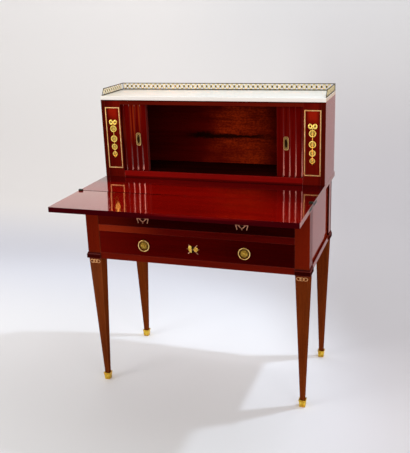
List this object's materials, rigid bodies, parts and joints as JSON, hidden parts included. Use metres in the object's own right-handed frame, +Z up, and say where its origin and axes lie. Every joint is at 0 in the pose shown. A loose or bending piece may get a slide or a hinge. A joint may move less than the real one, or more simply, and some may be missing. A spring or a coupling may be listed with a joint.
{
  "type": "bonheur du jour",
  "caption": "Small mahogany writing desk with a fold-over leaf, drawers in the frieze, tapered legs and a marble-topped cabinet behind sliding tambours, with gilt brass mounts.",
  "frame": {"origin": "centre of the bounding box's footprint, on the floor, with the leaf open", "axes": "+Z up, -Y towards the person who writes (the front), +X to the right as seen from the front"},
  "size_m": [0.81, 0.64, 1.0566],
  "materials": {
    "mahogany": "French polish, glossy red mahogany",
    "mahogany_legs": "polished brown-red mahogany",
    "dark_moulding": "polished, nearly black red-brown",
    "inner_mahogany": "unpolished and worn, dark",
    "oak_lining": "planed, bare",
    "gilt_brass": "gilt, burnished on the high places",
    "hinge_brass": "dull and tarnished",
    "lock_steel": "filed, lightly greyed",
    "marble": "polished white, faint grey veins",
    "linen": "glued canvas backing"
  },
  "bodies": {
    "table": {"cabinet_back": "inner_mahogany", "cabinet_bottom_board": "inner_mahogany", "cabinet_bottom_rail": "mahogany", "cabinet_side_left": "mahogany", "cabinet_side_right": "mahogany", "cabinet_top_board": "inner_mahogany", "cabinet_top_rail": "mahogany", "carcass_back": "inner_mahogany", "drawer_runners": "oak_lining", "fixed_top": "mahogany", "front_bottom_rail": "mahogany", "front_middle_rail": "mahogany", "gallery": "gilt_brass", "hinge_plates_fixed": "hinge_brass", "hinge_screws_fixed": "hinge_brass", "leg_bands": "gilt_brass", "leg_front_left": "mahogany_legs", "leg_front_right": "mahogany_legs", "leg_rear_left": "mahogany_legs", "leg_rear_right": "mahogany_legs", "marble_top": "marble", "pilaster_frames": "gilt_brass", "pilaster_left": "mahogany", "pilaster_mount_left": "gilt_brass", "pilaster_mount_right": "gilt_brass", "pilaster_right": "mahogany", "pocket_liners": "inner_mahogany", "post_collars": "dark_moulding", "sabots": "gilt_brass", "side_panel_left": "mahogany", "side_panel_right": "mahogany", "side_rails": "mahogany", "tambour_fixed_slats": "mahogany"},
    "leaf": {"leaf": "mahogany", "hinge_plates_leaf": "hinge_brass", "hinge_screws_leaf": "hinge_brass"},
    "upper_drawer": {"upper_drawer_front": "mahogany", "upper_drawer_case": "oak_lining", "upper_drawer_bottom": "oak_lining", "upper_drawer_pulls": "gilt_brass"},
    "lower_drawer": {"lower_drawer_front": "mahogany", "lower_drawer_case": "oak_lining", "lower_drawer_bottom": "oak_lining", "lower_drawer_escutcheon": "gilt_brass", "lower_drawer_rosettes": "gilt_brass", "lock_case": "lock_steel"},
    "ring_left": {"pull_ring_left": "gilt_brass"},
    "ring_right": {"pull_ring_right": "gilt_brass"},
    "lock_bolt": {"lock_bolt": "lock_steel"},
    "tambour_left": {"tambour_left_front_slats": "mahogany", "tambour_left_front_linen": "linen", "tambour_left_pull": "gilt_brass"},
    "tambour_left_back": {"tambour_left_back_slats": "mahogany", "tambour_left_back_linen": "linen"},
    "tambour_right": {"tambour_right_front_slats": "mahogany", "tambour_right_front_linen": "linen", "tambour_right_pull": "gilt_brass"},
    "tambour_right_back": {"tambour_right_back_slats": "mahogany", "tambour_right_back_linen": "linen"}
  },
  "joints": [
    {"name": "leaf_hinge", "type": "hinge", "parent": "table", "child": "leaf", "pos_m": [0, -0.11, 0.7393], "axis": [-1, 0, 0], "range_deg": [0, 180]},
    {"name": "upper_drawer_slide", "type": "slide", "parent": "table", "child": "upper_drawer", "axis": [0, -1, 0], "range_m": [0, 0.25]},
    {"name": "lower_drawer_slide", "type": "slide", "parent": "table", "child": "lower_drawer", "axis": [0, -1, 0], "range_m": [0, 0.25]},
    {"name": "lock_bolt_slide", "type": "slide", "parent": "lower_drawer", "child": "lock_bolt", "axis": [0, 0, 1], "range_m": [0, 0.006]},
    {"name": "ring_left_hinge", "type": "hinge", "parent": "lower_drawer", "child": "ring_left", "pos_m": [-0.1785, -0.10505, 0.5712], "axis": [-1, 0, 0], "range_deg": [0, 90]},
    {"name": "ring_right_hinge", "type": "hinge", "parent": "lower_drawer", "child": "ring_right", "pos_m": [0.1785, -0.10505, 0.5712], "axis": [-1, 0, 0], "range_deg": [0, 90]},
    {"name": "tambour_left_slide", "type": "slide", "parent": "table", "child": "tambour_left", "axis": [1, 0, 0], "range_m": [0, 0.2375]},
    {"name": "tambour_left_back_slide", "type": "slide", "parent": "table", "child": "tambour_left_back", "axis": [1, 0, 0], "range_m": [0, 0.119]},
    {"name": "tambour_right_slide", "type": "slide", "parent": "table", "child": "tambour_right", "axis": [-1, 0, 0], "range_m": [0, 0.2375]},
    {"name": "tambour_right_back_slide", "type": "slide", "parent": "table", "child": "tambour_right_back", "axis": [-1, 0, 0], "range_m": [0, 0.119]}
  ],
  "couplings": [
    {"joint": "tambour_left_back_slide", "follows": "tambour_left_slide", "ratio": 0.5},
    {"joint": "tambour_right_back_slide", "follows": "tambour_right_slide", "ratio": 0.5}
  ]
}
